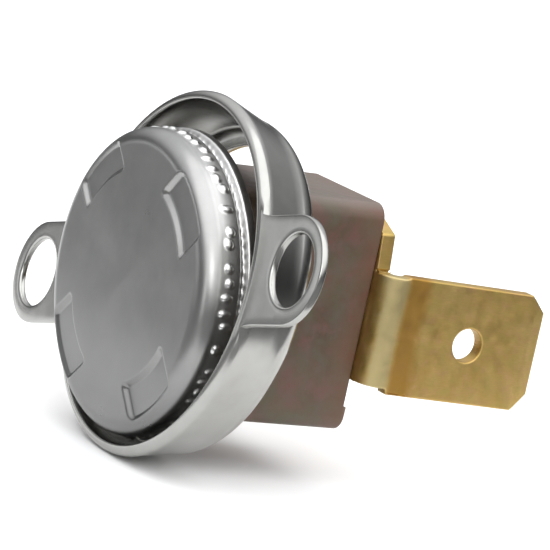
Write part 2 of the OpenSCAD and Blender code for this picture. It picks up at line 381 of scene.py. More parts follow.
def case_moulding():
    mat, tree, sh = nodes_of("case_moulding")
    k = Kit(tree)
    big = k.noise(0.32, 4, 0.6)
    mid = k.noise(1.1, 4, 0.6)
    hue = k.noise(0.75, 3, 0.55, k.stretch(1, 1, 1, turn=(0.6, 0.2, 0.5)))
    fine = k.noise(11, 3, 0.65)
    colour = k.ramp(big, [(0.30, (0.078, 0.052, 0.034)), (0.52, (0.098, 0.065, 0.043)), (0.75, (0.120, 0.081, 0.055))])
    colour = k.mix(k.range(hue, 0.50, 0.64, 0.0, 0.75), colour, (0.080, 0.078, 0.044))
    colour = k.mix(k.range(hue, 0.48, 0.36, 0.0, 0.75), colour, (0.128, 0.062, 0.050))
    colour = k.mix(k.range(mid, 0.45, 0.70, 0.0, 0.45), colour, (0.105, 0.086, 0.070))
    # painted reflection: redder towards the back, beside the terminal, standing in for light bounced off the brass
    # blade
    colour = k.mix(k.range(k.part(0), 10.6, 12.2, 0.0, 0.45), colour, (0.145, 0.066, 0.040))
    # painted light: paler where it faces up, the top face shown lit from above
    facing = tree.nodes.new("ShaderNodeNewGeometry")
    colour = k.mix(k.range(k.part(2, facing.outputs["Normal"]), 0.55, 0.95, 0.0, 0.50), colour, (0.175, 0.150, 0.138))
    specks = k.ramp(k.cells(2.6), [(0.0, 1.0), (0.07, 0.0), (1.0, 0.0)])
    colour = k.mix(k.math("MULTIPLY", specks, 0.30), colour, (0.19, 0.15, 0.125))
    worn = k.range(k.point(), 0.51, 0.60, 0.0, 0.45)
    colour = k.mix(worn, colour, (0.20, 0.15, 0.12))
    k.link(colour, sh.inputs["Base Color"])
    k.link(k.range(mid, 0.3, 0.7, 0.38, 0.56), sh.inputs["Roughness"])
    sh.inputs["Specular IOR Level"].default_value = 0.4
    b1 = k.bump(fine, 0.006 * MM, 1.0)
    b2 = k.bump(mid, 0.020 * MM, 1.0, b1)
    k.link(b2, sh.inputs["Normal"])
    return mat


def blade_plating():
    mat, tree, sh = nodes_of("terminal_plating")
    k = Kit(tree)
    sh.inputs["Metallic"].default_value = 1.0
    patch = k.noise(0.65, 4, 0.62, k.stretch(1, 1, 0.8))
    hue = k.noise(1.9, 4, 0.62, k.stretch(0.8, 1, 1.1, turn=(0.2, 0.7, 0.4)))
    lines = k.noise(7, 4, 0.65, k.stretch(0.35, 1, 2.4))
    colour = k.ramp(patch, [(0.30, (0.440, 0.285, 0.088)), (0.5, (0.505, 0.348, 0.120)), (0.72, (0.550, 0.392, 0.158))])
    colour = k.mix(k.range(hue, 0.50, 0.68, 0.0, 0.55), colour, (0.430, 0.345, 0.105))
    colour = k.mix(k.range(hue, 0.48, 0.32, 0.0, 0.55), colour, (0.540, 0.330, 0.165))
    colour = k.mix(k.range(lines, 0.35, 0.75, 0.0, 0.30), colour, (0.350, 0.240, 0.070))
    # painted highlight: pale on the bend; painted reflection of the dark case: brown just after it
    x = k.math("ADD", k.part(0), k.range(patch, 0.3, 0.7, -0.12, 0.12))
    side = k.range(k.part(1), -4.6, -4.2, 1.0, 0.0)
    pale = k.math("MULTIPLY", k.math("MULTIPLY", k.range(x, 12.35, 12.6, 0.0, 1.0), k.range(x, 13.3, 13.7, 1.0, 0.0)), side)
    brown = k.math("MULTIPLY", k.math("MULTIPLY", k.range(x, 13.5, 13.8, 0.0, 1.0), k.range(x, 14.6, 15.2, 1.0, 0.0)), side)
    colour = k.mix(k.math("MULTIPLY", pale, 0.75), colour, (0.50, 0.43, 0.23))
    colour = k.mix(k.math("MULTIPLY", brown, 0.78), colour, (0.375, 0.200, 0.040))
    k.link(colour, sh.inputs["Base Color"])
    k.link(k.range(k.noise(1.3, 4, 0.6), 0.3, 0.7, 0.40, 0.56), sh.inputs["Roughness"])
    b1 = k.bump(lines, 0.0020 * MM, 1.0)
    b2 = k.bump(k.noise(10, 3, 0.6), 0.0012 * MM, 1.0, b1)
    k.link(b2, sh.inputs["Normal"])
    return mat


def plain(name, dark, light, metallic, rough, scale=1.5, depth=0.004):
    """For the pieces inside: cloudy colour with fine bump."""
    mat, tree, sh = nodes_of(name)
    k = Kit(tree)
    sh.inputs["Metallic"].default_value = metallic
    n = k.noise(scale, 4, 0.6)
    k.link(k.ramp(n, [(0.3, dark), (0.7, light)]), sh.inputs["Base Color"])
    k.link(k.range(k.noise(scale * 2.3, 3, 0.6), 0.3, 0.7, rough[0], rough[1]), sh.inputs["Roughness"])
    k.link(k.bump(k.noise(scale * 7, 3, 0.6), depth * MM), sh.inputs["Normal"])
    return mat


CAP_MAT = cap_metal()
BRACKET_MAT = bracket_metal()
CASE_MAT = case_moulding()
BLADE_MAT = blade_plating()
RIVET_MAT = metal("rivet_turned", (0.55, 0.44, 0.24), (0.68, 0.57, 0.36), (0.25, 0.4), (1, 3, 3), 0.0008, 0.4)


# ---------------------------------------------------------------- sensing cap
def cap():
    b = Build()
    n = 720
    rnd = random.Random(7)

    # plain stamped pips and bars round the skirt, in place of what the real one is stamped with
    pips = []
    a = 0.0
    while a < 358:
        kind = rnd.random()
        if kind < 0.62:
            size = (rnd.uniform(0.25, 0.31), rnd.uniform(0.25, 0.31))
        else:
            size = (rnd.uniform(0.18, 0.23), rnd.uniform(0.34, 0.42))
        pips.append((math.radians(a), 1.56 + rnd.uniform(-0.16, 0.16), size[0], size[1], 0.0))
        a += rnd.choice((4.6, 4.9, 5.3, 5.8, 9.0))
    jag = [rnd.uniform(-1, 1) for _ in range(180)]

    def skirt(t, x):
        d = 0.0
        if 1.0 < x < 2.12:
            for c, mid, w, tall, slant in pips:
                dt = (t - c + PI) % (2 * PI) - PI
                if abs(dt) < 0.08:
                    u = (dt * CAP_R - slant * (x - mid)) / w
                    v = (x - mid) / tall
                    q = u * u + v * v
                    if q < 1:
                        d = max(d, 0.13 * (1 - q * q) ** 1.5)
        if 2.10 < x < 2.52:
            k = t / (2 * PI) * 180
            i = int(k) % 180
            f = k - int(k)
            s = jag[i] * (1 - f) + jag[(i + 1) % 180] * f
            w = math.sin(PI * (x - 2.10) / 0.42)
            d += 0.055 * w * s + 0.03 * w * math.sin(t * 90)
        return d

    # the pressed marks: sectors of a ring with parallel sides and rounded corners, sunk with sloping walls
    half, r0, r1, ref = 2.05, 5.3, 7.4, 6.35
    struck = [(math.radians(a), shift) for a, shift in ((46, 0.4), (132.5, 0.1), (226, 0.0), (316, 0.1))]

    def from_mark(t):
        """The nearest mark, the angle from it and how far that side's grid reaches."""
        best = min(range(4), key=lambda q: abs((t - struck[q][0] + PI) % (2 * PI) - PI))
        d = (t - struck[best][0] + PI) % (2 * PI) - PI
        other = struck[(best + (1 if d > 0 else -1)) % 4][0]
        return best, d, abs((other - struck[best][0] + PI) % (2 * PI) - PI) / 2

    def along(t, r, share):
        """Shifts an angle so that the grid's lines follow the marks' sides."""
        _, d, gap = from_mark(t)
        edge = math.asin(2.3 / ref)
        if abs(d) <= edge:
            a = math.asin(ref * math.sin(d) / r)
        else:
            at = math.asin(2.3 / r)
            a = math.copysign(at + (gap - at) * (abs(d) - edge) / (gap - edge), d)
        return t + (a - d) * share

    def sunk(r, t, ra, rb, hw, out, width):
        which, d, _ = from_mark(t)
        a = max(r - rb, ra + struck[which][1] - r)
        c = abs(r * math.sin(d)) - hw
        soft = 0.35
        s = math.hypot(a + soft, c + soft) - soft if a > -soft and c > -soft else max(a, c)
        q, w = (out - s) / width, 0.16

        def g(v):
            return 0.0 if v < -w else v if v > w else (v + w) ** 2 / (4 * w)

        return g(q) - g(q - 1)

    def dome(r, size, x0):
        e = r - (CAP_R - SHOULDER)
        return x0 if e <= 0 else SHOULDER - math.sqrt(size * size - e * e)

    def field(r, share, top, rise, ra, rb, hw, out, width, size, x0):
        pts = []
        for i in range(n):
            t = along(2 * PI * i / n, r, share) if share else 2 * PI * i / n
            x = dome(r, size, x0)
            x += max(0.0, top - x) * sunk(r, t, ra, rb, hw, out, width)
            pts.append((x, r * math.cos(t), r * math.sin(t)))
        return b.ring(pts)

    radii = ([5.15, 5.20, 5.235, 5.26, 5.29, 5.34] + [5.37 + 0.04 * i for i in range(20)] + [6.2 + 0.1 * i for i in range(9)]
             + [7.04, 7.07, 7.10, 7.14, 7.20, 7.27, 7.34, 7.39, 7.42, 7.45, 7.49, 7.53, 7.58, 7.65])
    face = [field(r, 1.0, 0.25, 0, r0, r1, half, 0.05, 0.29, SHOULDER, 0.0) for r in radii]
    start = math.asin(7.65 - (CAP_R - SHOULDER))
    for k in range(1, 10):
        a = start + (PI / 2 - start) * k / 9
        r, x = CAP_R - SHOULDER + SHOULDER * math.sin(a), SHOULDER - SHOULDER * math.cos(a)
        share = max(0.0, 1 - k / 6)
        ring = []
        for i in range(n):
            t = along(2 * PI * i / n, r, share)
            ring.append((x, r * math.cos(t), r * math.sin(t)))
        face.append(b.ring(ring))

    outer = ([(CAP_R, 1.0 + 0.056 * i) for i in range(1, 20)]
             + [(CAP_R - 0.02, 2.12), (CAP_R - 0.07, 2.16), (CAP_R - 0.12, 2.21), (CAP_R - 0.15, 2.27), (CAP_R - 0.15, 2.34), (CAP_R - 0.10, 2.39),
                (CAP_R, 2.44), (RIM_R - 0.06, 2.485), (RIM_R - 0.015, 2.53), (RIM_R, 2.6), (RIM_R, 2.78), (RIM_R, 2.9)])
    rim = [(RIM_R - 0.13 + 0.13 * math.cos(a), CAP_D - 0.13 + 0.13 * math.sin(a)) for a in [PI / 2 * i / 4 for i in range(1, 5)]]
    lip = [(7.5, CAP_D), (7.2, CAP_D), (7.16, CAP_D - 0.02), (7.15, CAP_D - 0.06), (7.15, 2.68), (7.18, 2.65), (CAP_R - CAP_T, 2.65), (CAP_R - CAP_T, 2.2),
           (CAP_R - CAP_T, 1.5), (CAP_R - CAP_T, SHOULDER)]
    ri = SHOULDER - CAP_T
    stop = math.acos((7.3 - (CAP_R - SHOULDER)) / ri)
    inner = [(CAP_R - SHOULDER + ri * math.cos(a), SHOULDER - ri * math.sin(a)) for a in [stop * i / 5 for i in range(1, 5)]]
    rings = turn(b, outer + rim + lip + inner, n, skirt)
    back = [field(7.3 - 0.1 * i, 0.0, 0.65, 0, 5.45, 7.25, 1.9, 0.05, 0.3, ri, CAP_T) for i in range(22)]
    b.loft(face + rings + back)
    b.fill(face[0])
    b.fill(back[-1])
    obj = b.object("sensing_cap_shell", sharp=50)
    obj.data.materials.append(CAP_MAT)
    return obj


# ---------------------------------------------------------------- mounting bracket
def bracket():
    b = Build()
    n = 480
    step = 2 * PI / n
    big = CREST_R + ROOT_R
    reach = EAR_R + ROOT_R
    root_y = math.sqrt(big ** 2 - reach ** 2)
    # the angle at which the ear's fillet meets the lip's outer edge
    f = math.acos((big ** 2 + ROOT_R ** 2 - LIP_R ** 2) / (2 * big * ROOT_R))
    cut = math.atan2(reach, root_y) - math.asin(ROOT_R * math.sin(f) / LIP_R)
    k = round(cut / step)
    angles = [i * step for i in range(n)]
    for i, a in ((k, cut), (n - k, 2 * PI - cut), (n // 2 - k, PI - cut), (n // 2 + k, PI + cut)):
        angles[i] = a

    def share(t):
        """0 at the ears' roots, where the lip is flat, to 1 where it is fully rounded."""
        away = abs((t + PI / 2) % PI - PI / 2)
        u = max(0.0, min(1.0, (away - cut) / math.radians(8)))
        return u * u * (3 - 2 * u)

    def wave(t, x):
        # the collar is not perfectly round: a hundredth, none at the lip
        return 0.012 * math.sin(2 * t + 0.7) * min(1.0, max(0.0, (x - 0.9) / 1.2))

    def ring(r, x, x_ear=None):
        pts = []
        for t in angles:
            w = share(t)
            xx = x if x_ear is None else x_ear + (x - x_ear) * w
            rr = r + wave(t, xx)
            pts.append((xx, rr * math.cos(t), rr * math.sin(t)))
        return b.ring(pts)

    sunk = 0.07  # how far the ears' front is behind the collar's crest
    ri = WALL_R - SHEET
    heel_x = BRACKET_H - HEEL_R
    rings = [ring(ri + (WALL_R - ri) * u, heel_x + (0.89 - heel_x) * u) for u in (0, 0.25, 0.5, 0.75)]
    rings += [ring(CREST_R - 0.2 * math.cos(a), 0.89 * (1 - math.sin(a))) for a in [PI / 2 * i / 12 for i in range(13)]]
    for a in [PI / 2 * i / 12 for i in range(1, 13)]:
        u = min(1.0, (LIP_R - CREST_R) * math.sin(a) / 0.26)
        rings.append(ring(CREST_R + (LIP_R - CREST_R) * math.sin(a), 0.48 * (1 - math.cos(a)), sunk * u * u * (3 - 2 * u)))
    b.loft(rings)
    lip = rings[-1]
    behind = ring(LIP_R, 0.48, SHEET)
    for i in range(n):
        j = (i + 1) % n
        mid = (i + 0.5) % (n // 2)
        if k < mid < n // 2 - k:
            b.face(lip[i], lip[j], behind[j], behind[i])
    wall = [behind] + [ring(LIP_R + (WALL_R - LIP_R) * u, 0.48 + (heel_x - 0.48) * u) for u in (0.12, 0.35, 0.6, 0.8)]
    wall += [ring(WALL_R - HEEL_R + HEEL_R * math.cos(a), heel_x + HEEL_R * math.sin(a)) for a in [PI / 2 * i / 14 for i in range(15)]]
    wall += [ring(r, x) for r, x in ((BACK_HOLE + 0.09, BRACKET_H), (BACK_HOLE + 0.025, BRACKET_H - 0.025), (BACK_HOLE, BRACKET_H - 0.09),
                                     (BACK_HOLE, BRACKET_H - SHEET + 0.07), (BACK_HOLE + 0.02, BRACKET_H - SHEET + 0.02), (BACK_HOLE + 0.07, BRACKET_H - SHEET))]
    small = HEEL_R - SHEET
    wall += [ring(WALL_R - HEEL_R + small * math.sin(a), heel_x + small * math.cos(a)) for a in [PI / 2 * i / 9 for i in range(9)]]
    b.loft(wall + [rings[0]])

    # the ears, each a flat sheet from the lip's outer edge
    flat = lambda p, x: (sunk + x * (SHEET - sunk) / SHEET, p.x, p.y)
    for s in (0, 1):
        sign = -1 if s else 1
        loop = []

        def put(cy, cz, r, a0, a1, m, out=1):
            for i in range(m + 1):
                t = a0 + (a1 - a0) * i / m
                q = Vector((math.cos(t), math.sin(t)))
                loop.append((Vector((cy, cz)) + q * r, q * out))

        tip_y = EAR_TIP - EAR_R
        low = math.atan2(reach - LIP_R * math.sin(cut), LIP_R * math.cos(cut) - root_y)
        put(root_y, -reach, ROOT_R, low, PI / 2, 8, -1)
        loop += [(Vector((root_y + (tip_y - root_y) * i / 6, -EAR_R)), Vector((0, -1))) for i in range(1, 6)]
        put(tip_y, 0, EAR_R, -PI / 2, PI / 2, 56)
        loop += [(Vector((tip_y + (root_y - tip_y) * i / 6, EAR_R)), Vector((0, 1))) for i in range(1, 6)]
        put(root_y, reach, ROOT_R, -PI / 2, -low, 8, -1)
        length = [0.0]
        for (p, _), (q, _) in zip(loop, loop[1:]):
            length.append(length[-1] + (q - p).length)
        loop = [(p * sign, q * sign) for p, q in loop]
        steps = [(0.10 * (1 - math.sin(a)), 0.10 * (1 - math.cos(a))) for a in [PI / 2 * i / 3 for i in range(4)]]
        rear = [(0.07 * (1 - math.cos(a)), 0.07 * (1 - math.sin(a))) for a in [PI / 2 * i / 3 for i in range(4)]]

        def soft(i):
            u = min(1.0, min(length[i], length[-1] - length[i]) / 0.9)
            return u * u * (3 - 2 * u)

        edge = [b.ring([flat(p - q * ins * soft(i), dep * soft(i)) for i, (p, q) in enumerate(loop)]) for ins, dep in steps]
        edge += [b.ring([flat(p - q * ins * soft(i), SHEET - dep * soft(i)) for i, (p, q) in enumerate(loop)]) for ins, dep in rear]
        for a, c in zip(edge, edge[1:]):
            b.bridge(a, c, closed=False)
        hole = edge_rings(b, circle(sign * EAR_POS, 0, EAR_HOLE, 96), SHEET, 0.09, flat, 0.16, 0.07)
        b.loft(hole)
        base = n // 2 * s
        root = [(base + i) % n for i in range(k - 1, -k, -1)]
        # more points between the loops, so that the flat face is shaded flat
        inner = [p for p, _ in circle(sign * EAR_POS, 0, EAR_HOLE + 0.36, 64)]
        for i in range(-13, 14):
            a = cut * i / 15
            inner.append(Vector(((LIP_R + 0.14) * math.cos(a) * sign, (LIP_R + 0.14) * math.sin(a))))
        for i in range(12):
            for j in range(-6, 7):
                q = Vector((LIP_R + 0.1 + 0.36 * i, 0.38 * j))
                if q.length > LIP_R + 0.38 and q.x < EAR_POS and (q - Vector((EAR_POS, 0))).length > EAR_HOLE + 0.58:
                    inner.append(Vector((q.x * sign, q.y)))
        b.fill(edge[0] + [lip[i] for i in root], [hole[0]], within=b.ring([flat(q, 0.0) for q in inner]))
        b.fill(edge[-1] + [behind[i] for i in root], [hole[-1]], within=b.ring([flat(q, SHEET) for q in inner]))
    obj = b.object("mounting_bracket_sheet", BRACKET, sharp=50)
    obj.data.materials.append(BRACKET_MAT)
    return obj


# ---------------------------------------------------------------- switch case
def case():
    b = Build()
    w, h, r = CASE_W / 2, CASE_H / 2, CASE_R
    low = -4.7
    soft = 0.10

    def side(points, x):
        return b.ring([(x, p.x, p.y) for p in points])

    corners = [arc(cy, cz, r, a0, a0 + 90, 10) for cy, cz, a0 in ((w - r, h - r, 0), (-(w - r), h - r, 90), (-(w - r), -(h - r), 180), (w - r, -(h - r), 270))]
    upper = [Vector(p) for p in [(w, low), (w, 0.0)] + corners[0] + corners[1] + [(-w, 0.0), (-w, low)]]
    lower = [Vector(p) for p in [(-w, low)] + corners[2] + corners[3] + [(w, low)]]
    whole = upper + lower[1:-1]

    # flange inside the cap
    n = 144
    front = turn(b, [(7.42, 2.05), (7.5, 2.13), (7.5, 2.57), (7.42, 2.65)], n)
    b.loft(front)
    body = [side(whole, x) for x in (CASE_X0, 5.5, 9.0, CASE_X1 - 0.6)]
    b.fill(front[-1], [body[0]])
    b.loft(body)

    # the back: flat at CASE_X1, with a low lip along the bottom behind it, each with a soft edge
    steps = [(soft * (1 - math.cos(PI / 2 * i / 4)), soft * (1 - math.sin(PI / 2 * i / 4))) for i in range(5)]

    def normals(points, closed):
        out = []
        m = len(points)
        for i, p in enumerate(points):
            a = (p - points[i - 1]).normalized() if closed or i else Vector((0, 0))
            c = (points[(i + 1) % m] - p).normalized() if closed or i < m - 1 else Vector((0, 0))
            t = a + c
            out.append(Vector((t.y, -t.x)).normalized())
        return out

    up_n = normals(upper, False)
    b.bridge(side(upper, CASE_X1 - 0.6), side(upper, CASE_X1 - soft), closed=False)
    up = [side([p - q * ins for p, q in zip(upper, up_n)], CASE_X1 - d) for ins, d in steps]
    for a, c in zip(up, up[1:]):
        b.bridge(a, c, closed=False)
    bottom = [side(lower, x) for x in (CASE_X1 - 0.6, CASE_X1 - soft, CASE_X1 + LEDGE - soft)]
    for a, c in zip(bottom, bottom[1:]):
        b.bridge(a, c, closed=False)
    low_n = normals(lower, True)
    down = [side([p - q * ins for p, q in zip(lower, low_n)], CASE_X1 + LEDGE - d) for ins, d in steps]
    b.loft(down)
    b.fill(down[-1])
    # the lip's upper face, flush with the ends of the flat back's soft edge
    b.face(*([ring[0] for ring in up] + [ring[-1] for ring in reversed(up)] + [down[0][0], down[0][-1]]))

    # rivet holes
    holes_out, holes_in = [], []
    for z in (STRIP_RIVET_Z, ARM_RIVET_Z):
        tube = turn(b, [(0.75, CAV_X), (0.75, CASE_X1)], 32, z=z)
        b.loft(tube)
        holes_in.append(tube[0])
        holes_out.append(tube[1])
    b.fill(up[-1], holes_out)

    # cavity, open at the front
    cw, ch = CAV_W / 2, CAV_H / 2
    cav = [Vector(p) for p in arc(cw - 0.3, ch - 0.3, 0.3, 0, 90, 4) + arc(-cw + 0.3, ch - 0.3, 0.3, 90, 180, 4)
           + arc(-cw + 0.3, -ch + 0.3, 0.3, 180, 270, 4) + arc(cw - 0.3, -ch + 0.3, 0.3, 270, 360, 4)]
    c0 = side(cav, 2.05)
    c1 = side(cav, CAV_X)
    b.bridge(c0, c1)
    b.fill(front[0], [c0])
    b.fill(c1, holes_in)
    obj = b.object("switch_case_moulding", sharp=32)
    obj.data.materials.append(CASE_MAT)
    return obj


# ---------------------------------------------------------------- terminals
def bent_terminal():
    b = Build()
    big = BEND_RI + BLADE_T
    bc = BLADE_Y - big
    bend_len = PI / 2 * (big - BLADE_T / 2)
    x0 = CASE_X1
    z0, z1 = BLADE_Z - BLADE_W / 2, BLADE_Z + BLADE_W / 2
    n0, n1 = z0 + NECK_LO, z1 - NECK_HI
    tip = bend_len + BLADE_TIP - (x0 + BLADE_T + BEND_RI)

    def place(p, depth):
        u, v = p.x, p.y
        if u <= 0:
            return (x0 + depth, -bc - u, v)
        if u < bend_len:
            t = u / bend_len * PI / 2
            rr = big - depth
            return (x0 + big - rr * math.cos(t), -bc - rr * math.sin(t), v)
        s = u - bend_len
        # the blade is very slightly hollow just after the bend
        d = 0.035 * math.exp(-((s - 0.75) / 0.45) ** 2)
        # coined tip: both faces slope to the end
        k = max(0.0, (u - (tip - 0.75)) / 0.75)
        dd = depth + (BLADE_T / 2 - depth) * 0.42 * k
        return (x0 + big + s, -BLADE_Y + dd + d, v - DROOP * s)

    # outline in the flat: u along the sheet from the bend's start, v is Z. The plate is on the case's back, u < 0
    U = lambda y: -bc - y
    plate = [(U(-2.6), n0, 0.15), (0.0, n0, 0), (bend_len, n0, 0), (bend_len + 0.05, n0, 0.06), (bend_len + 0.14, z0, 0.10),
             (tip - 0.93, z0, 0.10), (tip, z0 + 0.95, 0.12), (tip, z1 - 0.9, 0.12), (tip - 1.0, z1, 0.10),
             (bend_len + 0.22, z1, 0.12), (bend_len + 0.06, n1, 0.08), (bend_len, n1, 0), (0.0, n1, 0),
             (-0.35, n1, 0.04), (U(-4.25), 2.8, 0.10), (U(-4.05), 4.65, 0.2), (U(-2.3), 5.4, 0.25), (U(2.2), 5.4, 0.25), (U(2.2), 1.7, 0.25),
             (U(-2.0), 1.7, 0.2), (U(-2.6), 1.1, 0.2)]
    loop = rounded(plate)
    # points at the same u on both edges of the bend and the blade, so that the lines across it stay
    cuts = ([bend_len * i / 14 for i in range(15)] + [bend_len + 0.12 * i for i in range(1, 16)] + [bend_len + 2.2 + 0.5 * i for i in range(9)]
            + [tip - 1.2, tip - 0.9, tip - 0.75, tip - 0.6, tip - 0.3])
    out = []
    for (p, nrm), (q, _) in zip(loop, loop[1:] + loop[:1]):
        out.append((p, nrm))
        seg = q - p
        if seg.length > 0.3 and abs(seg.x) > 0.05:
            m = Vector((seg.y, -seg.x)).normalized()
            inner = sorted([c for c in cuts if min(p.x, q.x) + 0.02 < c < max(p.x, q.x) - 0.02], reverse=seg.x < 0)
            for c in inner:
                out.append((p.lerp(q, (c - p.x) / seg.x), m))
    loop = out
    rings = edge_rings(b, loop, BLADE_T, 0.07, place, 0.09, 0.05)
    b.loft(rings)
    hole_u = tip - HOLE_IN
    hole = circle(hole_u, BLADE_Z, BLADE_HOLE, 64)
    hrings = edge_rings(b, hole, BLADE_T, 0.07, place, 0.10, 0.06)
    b.loft(hrings)
    rivet = circle(U(0.0), STRIP_RIVET_Z, 0.72, 32)
    rrings = edge_rings(b, rivet, BLADE_T, 0.03, place)
    b.loft(rrings)
    # more points between the loops, along the same lines across the sheet
    inner = []
    for c in cuts:
        lo, hi = (z0, z1) if c > bend_len + 0.3 else (n0, n1)
        if c > tip - 1.25:
            lo, hi = lo + 1.0, hi - 0.95
        rows = 16
        for i in range(1, rows):
            p = Vector((c, lo + (hi - lo) * i / rows))
            if (p - Vector((hole_u, BLADE_Z))).length > BLADE_HOLE + 0.3 and c > 0.01:
                inner.append(p)
        if 0.01 < c < tip - 1.25:
            inner += [Vector((c, lo + 0.16)), Vector((c, hi - 0.16))]
    inner += [Vector((hole_u + 1.08 * math.cos(PI * i / 32), BLADE_Z + 1.08 * math.sin(PI * i / 32))) for i in range(64)]
    for which, depth, inset in ((0, 0.0, 0.09), (-1, BLADE_T, 0.05)):
        more = b.ring([place(p, depth) for p in inner])
        table = {}
        for ring, lp in ((rings[which], loop), (hrings[which], hole)):
            for i, (p, nrm) in zip(ring, lp):
                table[i] = p - nrm * inset
        for i, (p, nrm) in zip(rrings[which], rivet):
            table[i] = p - nrm * 0.03
        for i, p in zip(more, inner):
            table[i] = p
        keep = b.v
        b.v = {i: (0.0, p.x, p.y) for i, p in table.items()}
        b.fill(rings[which], [hrings[which], rrings[which]], within=more)
        b.v = keep
    obj = b.object("bent_terminal_blade", sharp=50)
    obj.data.materials.append(BLADE_MAT)
    return obj


def flat_terminal():
    b = Build()
    z0 = -4.3
    x0 = CASE_X1

    def place(p, depth):
        k = max(0.0, (p.x - (FLAT_TIP - 0.75)) / 0.75)
        dd = depth + (BLADE_T / 2 - depth) * 0.42 * k
        return (x0 + dd, p.x, p.y)

    loop = split(rounded([(-1.3, z0, 0.25), (FLAT_TIP - 0.9, z0, 0.25), (FLAT_TIP, z0 + 0.9, 0.25), (FLAT_TIP, z0 + BLADE_W - 0.9, 0.25),
                          (FLAT_TIP - 0.9, z0 + BLADE_W, 0.25), (4.6, z0 + BLADE_W, 0.12), (4.2, z0 + BLADE_W - 0.4, 0.12), (4.2, -0.9, 0.3), (-1.3, -0.9, 0.25)]), 1.2)
    rings = edge_rings(b, loop, BLADE_T, 0.07, place, 0.09, 0.05)
    b.loft(rings)
    h = edge_rings(b, circle(FLAT_TIP - HOLE_IN, z0 + BLADE_W / 2, BLADE_HOLE, 64), BLADE_T, 0.07, place, 0.10, 0.06)
    b.loft(h)
    r = edge_rings(b, circle(0, ARM_RIVET_Z, 0.72, 32), BLADE_T, 0.03, place)
    b.loft(r)
    for which in (0, -1):
        b.fill(rings[which], [h[which], r[which]])
    obj = b.object("flat_terminal_blade", sharp=50)
    obj.data.materials.append(BLADE_MAT)
    return obj


def rivet(name, z):
    b = Build()
    back = CAV_X - 0.4
    x1 = CASE_X1 + BLADE_T
    head = [(0.0001, back - 0.5), (0.3, back - 0.5), (0.85, back - 0.5), (0.95, back - 0.47), (1.13, back - 0.28), (1.15, back - 0.22), (1.15, back - 0.02), (1.13, back),
            (0.7, back), (0.7, x1), (1.36, x1), (1.4, x1 + 0.03), (1.4, x1 + 0.12)]
    dome = [(1.4 * math.cos(a), x1 + 0.13 + 0.4 * math.sin(a)) for a in [PI / 2 * i / 12 for i in range(1, 12)]]
    dome[-1] = (dome[-1][0], dome[-1][1])
    # a clinched rivet has a shallow dimple where the tool pressed
    tail = [(0.12, x1 + 0.525), (0.0001, x1 + 0.52)]
    rings = turn(b, head + dome + tail, 72, z=z)
    b.loft(rings)
    obj = b.object(name, sharp=45)
    obj.data.materials.append(RIVET_MAT)
    return obj


made = [
    (cap(), "sensing_cap", "thermostat", "cap_metal"),
    (bracket(), "mounting_bracket", "mounting_bracket", "bracket_metal"),
    (case(), "switch_case", "thermostat", "case_moulding"),
    (bent_terminal(), "bent_terminal", "thermostat", "terminal_brass"),
    (flat_terminal(), "flat_terminal", "thermostat", "terminal_brass"),
    (rivet("strip_rivet_turned", STRIP_RIVET_Z), "strip_rivet", "thermostat", "rivet_brass"),
    (rivet("arm_rivet_turned", ARM_RIVET_Z), "arm_rivet", "thermostat", "rivet_brass"),
]
for obj, node, body, slot in made:
    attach(obj, body)
    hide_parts(node)

# ---------------------------------------------------------------- pieces inside, carried over from the CAD
inside = {
    "bimetal_disc": metal("bimetal_strip", (0.40, 0.37, 0.34), (0.52, 0.49, 0.45), (0.3, 0.45), (1, 4, 0.6), 0.0008, 0.5, ((0.50, 0.42, 0.34), 0.4)),
    "disc_seat_ring": metal("seat_ring_sheet", (0.55, 0.54, 0.52), (0.66, 0.65, 0.63), (0.25, 0.4)),
    "pin_guide": plain("guide_moulding", (0.55, 0.49, 0.40), (0.66, 0.60, 0.50), 0.0, (0.4, 0.6), 1.2, 0.01),
    "push_pin": plain("pin_ceramic", (0.80, 0.79, 0.75), (0.88, 0.87, 0.84), 0.0, (0.12, 0.28), 2.0, 0.003),
    "fixed_contact_strip": plain("strip_brass", (0.58, 0.42, 0.16), (0.70, 0.54, 0.26), 1.0, (0.25, 0.42), 1.6, 0.002),
    "arm_support": plain("support_brass", (0.58, 0.42, 0.16), (0.70, 0.54, 0.26), 1.0, (0.25, 0.42), 1.6, 0.002),
    "contact_arm": plain("spring_copper", (0.66, 0.40, 0.18), (0.76, 0.50, 0.26), 1.0, (0.22, 0.38), 1.6, 0.002),
    "fixed_contact": plain("contact_silver_fixed", (0.80, 0.80, 0.79), (0.90, 0.90, 0.88), 1.0, (0.18, 0.32), 2.2, 0.002),
    "moving_contact": plain("contact_silver_moving", (0.80, 0.80, 0.79), (0.90, 0.90, 0.88), 1.0, (0.18, 0.32), 2.2, 0.002),
}
for node, mat in inside.items():
    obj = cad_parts[node]
    if not obj.material_slots:
        obj.data.materials.append(mat)
    for s in obj.material_slots:
        s.material = mat

# ---------------------------------------------------------------- floor, light and camera
low_z = min(min((o.matrix_world @ v.co).z for v in o.data.vertices) for o, *_ in made)


def floor():
    cells = 12
    mesh = bpy.data.meshes.new("floor")
    bm = bmesh.new()
    bmesh.ops.create_grid(bm, x_segments=cells, y_segments=cells, size=0.5)
    bmesh.ops.scale(bm, vec=(0.40, 0.56, 1), verts=bm.verts)
    bm.to_mesh(mesh)
    bm.free()
    obj = bpy.data.objects.new("floor", mesh)
    obj.location = (0.1845, 0.2590, low_z - 0.00005)
    bpy.context.scene.collection.objects.link(obj)
    mat, tree, sh = nodes_of("floor_paper")
    k = Kit(tree)
    k.link(k.ramp(k.noise(0.04, 3, 0.5), [(0.3, (0.91, 0.91, 0.91)), (0.7, (0.93, 0.93, 0.93))]), sh.inputs["Base Color"])
    sh.inputs["Roughness"].default_value = 0.9
    sh.inputs["Specular IOR Level"].default_value = 0.1
    mesh.materials.append(mat)


floor()


def look_at(position, target):
    return (Vector(target) - Vector(position)).to_track_quat("-Z", "Y").to_euler()


